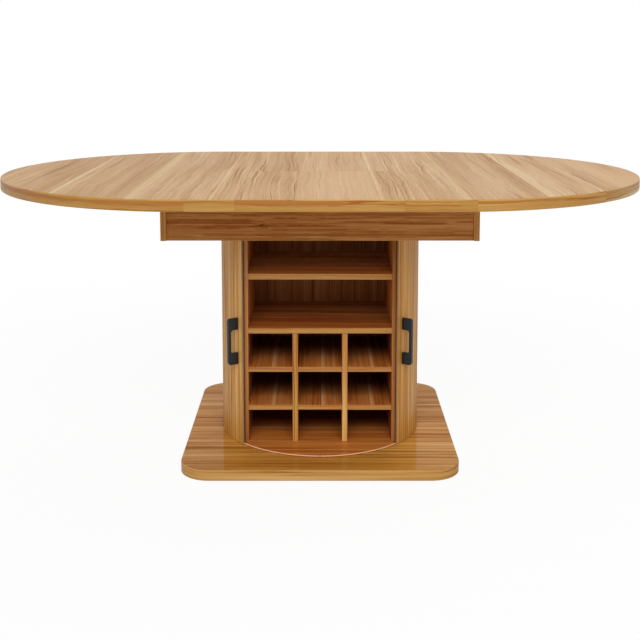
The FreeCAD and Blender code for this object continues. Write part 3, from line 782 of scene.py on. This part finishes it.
class TABLE_OT_base(bpy.types.Operator):
    """The base plate with its kerf, and the half ring rails"""
    bl_idname = "table_dressing.base"
    bl_label = "Base"

    def execute(self, context):
        shape = settings().shape

        def plate_outline(inset):
            half = BASE_HIGH.x - inset
            return soft_rectangle(-half, half, -half, half, shape.base_corner - inset, 16)

        profile = edge_profile(BASE_LOW.z, BASE_HIGH.z, shape.base_edge_round)
        rail_out, rail_in = RAIL_HIGH.x, RAIL_HIGH.x - RAIL_WIDTH
        kerf = ((rail_out + KERF_GAP, BASE_HIGH.z), (rail_out + KERF_GAP, RAIL_LOW.z),
                (rail_in - KERF_GAP, RAIL_LOW.z), (rail_in - KERF_GAP, BASE_HIGH.z))
        bm = bmesh.new()
        side = walls(bm, reversed(board_loops(profile, plate_outline)))
        slot = walls(bm, [[(x, y, z) for x, y in arc((0, 0), r, 0, math.tau, 180)[:-1]] for r, z in kerf])
        rims = [bm.edges.get(pair) for row in (side[0], slot[0]) for pair in zip(row, row[1:] + row[:1])]
        bmesh.ops.triangle_fill(bm, use_beauty=True, edges=rims, normal=(0, 0, 1))
        piece_from(bm, "base_board", "base_wood", "pedestal_frame", "case_veneer", "base_plate")
        dress("brown_felt", "floor_pads")

        section = soft_rectangle(rail_in, rail_out, RAIL_LOW.z, RAIL_HIGH.z, 0.0006)
        gap = RAIL_END / (rail_out - RAIL_WIDTH / 2)
        for word, start, stop in (("right", gap, math.pi - gap), ("left", -math.pi + gap, -gap)):
            lofted(swept_loops(section, start, stop, 90), f"ring_rail_{word}", "rail_nylon",
                   "pedestal_frame", "light_nylon", f"door_rail_{word}")
        return {"FINISHED"}


class TABLE_OT_doors(bpy.types.Operator):
    """The curved doors, the dark strips on their front edges and their shoes"""
    bl_idname = "table_dressing.doors"
    bl_label = "Doors"

    def execute(self, context):
        shape = settings().shape
        inner, outer = shape.door_inner, shape.door_outer
        low, high = DOOR_LOW.z, DOOR_HIGH.z
        middle = (inner + outer) / 2
        strip = shape.edging / middle
        notch_out, notch_in = middle + shape.groove_side, middle - shape.groove_side
        notch_top = low + shape.groove_depth
        section = soft_rectangle(inner, outer, low, high, 0.0007)
        section += [(notch_in, low), (notch_in, notch_top), (notch_out, notch_top), (notch_out, low)]
        for side, word in SIDES:
            body = f"door_body_{word}"
            start, stop = shape.door_start, shape.door_start + shape.door_span
            lofted(swept_loops(section, side * (start + strip), side * stop, 64),
                   f"door_panel_{word}", "door_wood", body, "door_veneer", f"door_{word}")
            lofted(swept_loops(section, side * start, side * (start + strip), 1),
                   f"door_strip_{word}", "door_edging", body, "dark_edging", f"door_edge_{word}")
        dress("pale_nylon", "door_glides_left", "door_glides_right")
        return {"FINISHED"}


class TABLE_OT_drum(bpy.types.Operator):
    """The curved shell of the drum, its top board and the cabinet inside it"""
    bl_idname = "table_dressing.drum"
    bl_label = "Drum and Cabinet"

    def execute(self, context):
        outer = DRUM_TOP_HIGH.x
        inner = outer - SHELL_THICKNESS
        start = math.acos(-SHELL_LOW.y / inner)
        section = soft_rectangle(inner, outer, SHELL_LOW.z, SHELL_HIGH.z, 0.0004)
        for side, word in SIDES:
            lofted(swept_loops(section, side * start, side * math.radians(179.95), 96),
                   f"shell_{word}", "door_wood", "pedestal_frame", "case_veneer", f"drum_shell_{word}")

        def lid_outline(inset):
            corner = math.asin((DRUM_TOP_LOW.y + inset) / (outer - inset))
            return arc((0, 0), outer - inset, corner, math.pi - corner, 180)

        lofted(board_loops(edge_profile(DRUM_TOP_LOW.z, DRUM_TOP_HIGH.z, 0.0006, 3), lid_outline),
               "drum_lid", "plain_board", "pedestal_frame", "frame_board", "drum_top")
        dress("side_wood", "side_panel_left", "side_panel_right")
        dress("divider_wood", "divider_left", "divider_right")
        dress("shelf_wood", "middle_shelf")
        dress("upper_shelf_wood", "upper_shelf")
        dress("rack_shelf_wood", "rack_shelf_upper", "rack_shelf_lower")
        dress("back_wood", "cabinet_back")
        dress("plain_board", "drum_ribs_left", "drum_ribs_right", "drum_ribs_rear")
        return {"FINISHED"}


class TABLE_OT_handles(bpy.types.Operator):
    """The bow handles"""
    bl_idname = "table_dressing.handles"
    bl_label = "Handles"

    def execute(self, context):
        shape = settings().shape
        low, high = HANDLE_LOW.z, HANDLE_HIGH.z
        foot, reach = shape.door_outer, shape.door_outer + shape.handle_reach
        bar = reach - shape.handle_bar
        corner, inner = shape.handle_corner, shape.handle_inner_corner
        gap_low, gap_high = low + shape.handle_foot, high - shape.handle_foot
        outline = [(foot, low)]
        outline += arc((reach - corner, low + corner), corner, -QUARTER, 0, 8)
        outline += arc((reach - corner, high - corner), corner, 0, QUARTER, 8)
        outline += [(foot, high), (foot, gap_high)]
        outline += arc((bar - inner, gap_high - inner), inner, QUARTER, 0, 8)
        outline += arc((bar - inner, gap_low + inner), inner, 0, -QUARTER, 8)
        outline += [(foot, gap_low)]
        half = shape.handle_width / 2
        for side, word in SIDES:
            turned = Matrix.Rotation(side * shape.handle_angle, 4, "Z")
            lofted([[turned @ Vector((x, -r, z)) for r, z in outline] for x in (-half, half)],
                   f"bow_handle_{word}", "handle_black", f"door_body_{word}", "black_metal",
                   f"handle_{word}", round_by=shape.handle_edge_round)
        return {"FINISHED"}


class TABLE_OT_frame(bpy.types.Operator):
    """Finishes of the frame and the slides under the top"""
    bl_idname = "table_dressing.frame"
    bl_label = "Frame and Slides"

    def execute(self, context):
        dress("apron_wood", "apron_front", "apron_rear")
        dress("apron_end_wood", "apron_end_left", "apron_end_right")
        dress("plain_board", "frame_floor")
        dress("beech_long", "corner_blocks", "centre_bars", "frame_tenons", "slide_bar_left_front",
              "slide_bar_left_rear", "slide_bar_right_front", "slide_bar_right_rear")
        dress("beech_across", "slide_bearers", "batten_left", "batten_right")
        dress("pale_nylon", "glide_strips")
        dress("zinc_steel", "pinion_pins", "pinion_front", "pinion_rear")
        return {"FINISHED"}


# --- Pieces that repeat ---
def node_group(name, **sockets):
    """An empty Geometry Nodes tree, its geometry and one wire for each named input."""
    group = bpy.data.node_groups.new(name, "GeometryNodeTree")
    group.interface.new_socket("Geometry", in_out="OUTPUT", socket_type="NodeSocketGeometry")
    group.interface.new_socket("Geometry", in_out="INPUT", socket_type="NodeSocketGeometry")
    for kind, labels in sockets.items():
        for label in labels:
            group.interface.new_socket(label, in_out="INPUT", socket_type="NodeSocket" + kind)
    tree = Tree(group)
    given = tree.add("NodeGroupInput", output="Geometry")
    return group, tree, given, *(given.other(label) for labels in sockets.values() for label in labels)


def grown(name, group, points, values):
    """Runs a Geometry Nodes tree on points and gives the result as a plain mesh."""
    mesh = bpy.data.meshes.new(name)
    mesh.from_pydata([place for place, way in points], [], [])
    facing = mesh.attributes.new("facing", "FLOAT_VECTOR", "POINT")
    for item, (place, way) in zip(facing.data, points):
        item.vector = way
    obj = placed(name + "_points", mesh)
    growth = obj.modifiers.new("growth", "NODES")
    growth.node_group = group
    for item in group.interface.items_tree:
        if item.in_out == "INPUT" and item.name in values:
            growth[item.identifier] = values[item.name]
    return evened(obj, name)


def raised(tree, flat, by):
    """A flat shape drawn up into a solid."""
    upper = tree.grow("ExtrudeMesh", {"Mesh": flat, "Offset Scale": by, "Individual": False}, mode="FACES")
    return tree.grow("JoinGeometry", {"Geometry": [upper, tree.grow("FlipFaces", {"Mesh": flat})]})


def moved(tree, geometry, x, y, z):
    return tree.grow("Transform", {"Geometry": geometry, "Translation": tree.point(x, y, z)})


def close_group(tree, geometry, material):
    """Ends a tree with real geometry that has its material."""
    solid = tree.grow("RealizeInstances", {"Geometry": geometry})
    shown = tree.grow("SetMaterial", {"Geometry": solid, "Material": material})
    tree.add("NodeGroupOutput", {"Geometry": shown})


def head_tree():
    """Screw heads with a hexagon socket, one at each point, turned to the point's facing."""
    group, tree, points, radius, height, socket, depth, sides, look = node_group(
        "screw_heads", Float=("Radius", "Height", "Socket Radius", "Socket Depth"), Int=("Sides",),
        Material=("Finish",))
    below = height - depth
    core = tree.grow("MeshCylinder", {"Vertices": sides, "Radius": radius, "Depth": below})
    core = moved(tree, core, 0.0, 0.0, below * 0.5)
    rim = tree.grow("CurvePrimitiveCircle", {"Resolution": sides, "Radius": radius})
    hexagon = tree.grow("CurvePrimitiveCircle", {"Resolution": 6, "Radius": socket})
    both = tree.grow("JoinGeometry", {"Geometry": [rim, hexagon]})
    ring = raised(tree, tree.grow("FillCurve", {"Curve": both}), depth)
    head = tree.grow("JoinGeometry", {"Geometry": [core, moved(tree, ring, 0.0, 0.0, below)]})
    facing = tree.grow("InputNamedAttribute", {"Name": "facing"}, data_type="FLOAT_VECTOR")
    aim = tree.add("FunctionNodeAlignRotationToVector", {"Vector": facing}, axis="Z")
    set_out = tree.grow("InstanceOnPoints", {"Points": points, "Instance": head, "Rotation": aim})
    close_group(tree, set_out, look)
    return group


def rack_tree():
    """A straight rack: a bar along X with teeth towards -Y, its root line at the origin."""
    group, tree, _, count, look, pitch, first, tip, root, tall, back, thick, start, stop = node_group(
        "toothed_rack", Int=("Teeth",), Material=("Finish",),
        Float=("Pitch", "First Tooth", "Tip", "Root", "Tooth Height", "Back", "Thickness", "Start", "Stop"))
    outline = tree.grow("CurvePrimitiveQuadrilateral", {
        "Bottom Width": tip, "Top Width": root, "Height": tall, "Offset": 0.0}, mode="TRAPEZOID")
    tooth = raised(tree, tree.grow("FillCurve", {"Curve": outline}), thick)
    row = tree.grow("MeshLine", {"Count": count, "Offset": tree.point(pitch, 0.0, 0.0),
                                 "Start Location": tree.point(first, tall * -0.5, 0.0)})
    teeth = tree.grow("InstanceOnPoints", {"Points": row, "Instance": tooth})
    bar = tree.grow("MeshCube", {"Size": tree.point(stop - start, back, thick)})
    bar = moved(tree, bar, (start + stop) * 0.5, back * 0.5, thick * 0.5)
    close_group(tree, tree.grow("JoinGeometry", {"Geometry": [teeth, bar]}), look)
    return group


# Where the fixings stand, in metres from the table's middle, or from a handle's.
BASE_SCREWS_Y = (-0.1, 0.0, 0.1)
BOLTS = [(x, y) for x in (-0.21, 0.21) for y in (-0.07, 0.11)]
SLIDE_SCREWS_X = (0.26, 0.40, 0.54)
BATTEN_SCREWS_Y = (-0.27, -0.09, 0.09, 0.27)
HANDLE_SCREWS_Z = (-0.048, 0.048)


def box_middle(node):
    """The middle of a node's box."""
    low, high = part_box(node)
    return (low + high) / 2


class TABLE_OT_fixings(bpy.types.Operator):
    """Screws, bolts and washers"""
    bl_idname = "table_dressing.fixings"
    bl_label = "Screws and Bolts"

    def execute(self, context):
        values = settings().fixings
        shape = settings().shape
        group = head_tree()
        down, up = Vector((0, 0, -1)), Vector((0, 0, 1))

        def heads(name, body, way, places, radius, height, sides=20, socket=values.socket, depth=0.0016):
            """One piece with a head at each place, standing out that way."""
            made = grown(name, group, [(Vector(place), way) for place in places], {
                "Radius": radius, "Height": height, "Sides": sides, "Socket Radius": socket,
                "Socket Depth": depth, "Finish": finish("zinc_steel")})
            settle(made, body, "steel")

        panel, upright = box_middle("side_panel_right").x, box_middle("divider_right").x
        heads("base_screw_heads", "pedestal_frame", down,
              [(x, y, BASE_LOW.z + SCREW_SUNK) for x in (-panel, -upright, upright, panel)
               for y in BASE_SCREWS_Y], values.screw_head, 0.0022)
        floor = FLOOR_HIGH.z
        heads("frame_washers", "pedestal_frame", up, [(x, y, floor) for x, y in BOLTS],
              values.washer, WASHER_HEIGHT, socket=0.004, depth=0.0004)
        heads("frame_bolt_heads", "pedestal_frame", up, [(x, y, floor + WASHER_HEIGHT) for x, y in BOLTS],
              values.bolt_head, 0.0052, sides=6, socket=0.003, depth=0.0006)
        for side, word in SIDES:
            body = f"top_half_{word}"
            for way, place in ((-1, "front"), (1, "rear")):
                bar, line = f"slide_bar_{word}_{place}", way * (SLIDE_CENTRE - side * BAR_OFFSET)
                heads(f"slide_screw_heads_{word}_{place}", body, down,
                      [(side * x, line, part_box(bar)[0].z + SCREW_SUNK) for x in SLIDE_SCREWS_X],
                      values.screw_head, 0.0023)
            batten = f"batten_{word}"
            heads(f"batten_screw_heads_{word}", body, down,
                  [(box_middle(batten).x, y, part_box(batten)[0].z + SCREW_SUNK) for y in BATTEN_SCREWS_Y],
                  values.screw_head, 0.0023)
            out = round_place(1.0, side * shape.handle_angle, 0.0)
            inside = out * (shape.door_inner + 0.0016)
            heads(f"handle_screw_heads_{word}", f"door_body_{word}", -out,
                  [(inside.x, inside.y, box_middle(f"handle_{word}").z + z) for z in HANDLE_SCREWS_Z],
                  0.0038, 0.0019, depth=0.0012)
        return {"FINISHED"}


class TABLE_OT_racks(bpy.types.Operator):
    """The toothed racks of the equaliser"""
    bl_idname = "table_dressing.racks"
    bl_label = "Toothed Racks"

    def execute(self, context):
        values = settings().fixings
        first = (math.ceil(RACK_LOW.x / values.rack_pitch + 0.5) + 0.5) * values.rack_pitch
        group = rack_tree()
        for side, word in SIDES:
            low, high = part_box(f"racks_{word}")
            pattern = grown("rack_pattern", group, [(Vector((0, 0, 0)), Vector((0, 0, 1)))], {
                "Teeth": values.rack_teeth, "Pitch": values.rack_pitch, "First Tooth": first,
                "Tip": values.tooth_tip, "Root": values.tooth_root, "Tooth Height": values.tooth_height,
                "Back": values.rack_back, "Thickness": high.z - low.z, "Start": RACK_LOW.x,
                "Stop": RACK_HIGH.x, "Finish": finish("zinc_steel")})
            bm = bmesh.new()
            for sy in (1, -1):
                before = len(bm.verts)
                bm.from_mesh(pattern.data)
                bm.verts.ensure_lookup_table()
                for vert in bm.verts[before:]:
                    x, y, z = vert.co
                    line = SLIDE_CENTRE - side * (RACK_OFFSET + y)
                    vert.co = Vector((x * side, sy * line, low.z + z))
            bpy.data.objects.remove(pattern)
            piece_from(bm, f"toothed_racks_{word}", "zinc_steel", f"top_half_{word}", "steel",
                       f"racks_{word}", sharp=20.0)
        return {"FINISHED"}


# --- Stage ---
FLOOR_DROP = 0.0003        # keeps the floor just clear of the felt pads
FLOOR_REACH = 60.0
FLOOR_FADE = 0.9, 3.0      # metres from the middle: where the floor starts to turn white and where it is
WHITE = (1, 1, 1, 1)


def lamp(name, watts, size, place, aim):
    data = bpy.data.lights.new(name, "AREA")
    data.energy = watts
    data.shape = "RECTANGLE"
    data.size, data.size_y = size
    obj = placed(name, data)
    obj.visible_glossy = False
    obj.location = place
    obj.rotation_euler = (Vector(aim) - Vector(place)).to_track_quat("-Z", "Y").to_euler()


def seen_white(tree, shader, white, share_seen):
    """White where the camera or a reflection sees it, and the shader for other rays."""
    path = tree.add("ShaderNodeLightPath", output="Is Camera Ray")
    seen = tree.maths("MAXIMUM", path, path.other("Is Glossy Ray"))
    seen = tree.maths("MAXIMUM", seen, path.other("Is Transmission Ray"))
    return tree.add("ShaderNodeMixShader", {0: seen * share_seen, 1: shader, 2: white})


class TABLE_OT_stage(bpy.types.Operator):
    """The floor, the lamps, the room light and the camera"""
    bl_idname = "table_dressing.stage"
    bl_label = "Stage"

    def execute(self, context):
        scene = context.scene
        values = settings().stage
        scene.view_settings.view_transform = "Standard"

        world = bpy.data.worlds.new("room")
        scene.world = world
        world.use_nodes = True
        world.node_tree.nodes.clear()
        tree = Tree(world.node_tree)
        room = tree.add("ShaderNodeBackground", {"Color": WHITE, "Strength": values.room_light})
        white = tree.add("ShaderNodeBackground", {"Color": WHITE, "Strength": 1.0})
        tree.add("ShaderNodeOutputWorld", {"Surface": seen_white(tree, room, white, 1.0)})

        bm = bmesh.new()
        bmesh.ops.create_grid(bm, x_segments=1, y_segments=1, size=FLOOR_REACH)
        bmesh.ops.translate(bm, verts=bm.verts[:], vec=(0.0, 0.0, -FLOOR_DROP))
        mesh = bpy.data.meshes.new("floor")
        bm.to_mesh(mesh)
        bm.free()
        material, tree = new_material("floor")
        x, y, z = tree.parts("Object")
        far = tree.smooth(tree.distance(x, y), *FLOOR_FADE)
        share_seen = far * (1.0 - values.floor_white) + values.floor_white
        matte = tree.add("ShaderNodeBsdfDiffuse", {"Color": (0.86, 0.86, 0.86, 1)})
        glow = tree.add("ShaderNodeEmission", {"Color": WHITE, "Strength": 1.0})
        tree.add("ShaderNodeOutputMaterial", {"Surface": seen_white(tree, matte, glow, share_seen)})
        mesh.materials.append(material)
        placed("floor", mesh)

        lamp("front_lamp", values.key_light, (5.5, 3.6), (-0.1, -6.3, 5.0), (0, 0, 0.4))
        lamp("back_lamp", values.back_light, (5.5, 3.6), (2.6, 6.2, 4.6), (0, 0, 0.4))
        lamp("top_lamp", values.top_light, (3.5, 3.0), (0.6, 0.4, 4.2), (0, 0, 0.7))

        data = bpy.data.cameras.new("camera")
        data.lens = values.lens
        data.shift_y = values.camera_shift
        data.clip_end = 200.0
        camera = placed("camera", data)
        camera.location = (0.0, -values.camera_back, values.camera_height)
        camera.rotation_euler = (QUARTER - values.camera_tilt, 0.0, 0.0)
        scene.camera = camera
        return {"FINISHED"}


class TABLE_PT_panel(bpy.types.Panel):
    """Lists the pieces that can be built"""
    bl_idname = "TABLE_PT_panel"
    bl_label = "Extending Table"
    bl_space_type = "VIEW_3D"
    bl_region_type = "UI"
    bl_category = "Table"

    def draw(self, context):
        for operator in OPERATORS:
            self.layout.operator(operator.bl_idname)
        for group in ("stage", "wood", "shape", "fixings"):
            box = self.layout.box()
            values = getattr(settings(), group)
            for name in values.__annotations__:
                box.prop(values, name)


OPERATORS = (TABLE_OT_stage, TABLE_OT_top, TABLE_OT_frame, TABLE_OT_drum, TABLE_OT_doors, TABLE_OT_handles,
             TABLE_OT_base, TABLE_OT_racks, TABLE_OT_fixings)
CLASSES = (StageSettings, WoodSettings, ShapeSettings, FixingSettings, TableSettings, *OPERATORS,
           TABLE_PT_panel)


def register():
    for cls in CLASSES:
        bpy.utils.register_class(cls)
    bpy.types.Scene.table_dressing = PointerProperty(type=TableSettings)


def unregister():
    del bpy.types.Scene.table_dressing
    for cls in reversed(CLASSES):
        bpy.utils.unregister_class(cls)


def main():
    register()
    bpy.ops.table_dressing.stage()
    bpy.ops.table_dressing.top()
    bpy.ops.table_dressing.frame()
    bpy.ops.table_dressing.drum()
    bpy.ops.table_dressing.doors()
    bpy.ops.table_dressing.handles()
    bpy.ops.table_dressing.base()
    bpy.ops.table_dressing.racks()
    bpy.ops.table_dressing.fixings()


if __name__ == "__main__":
    main()
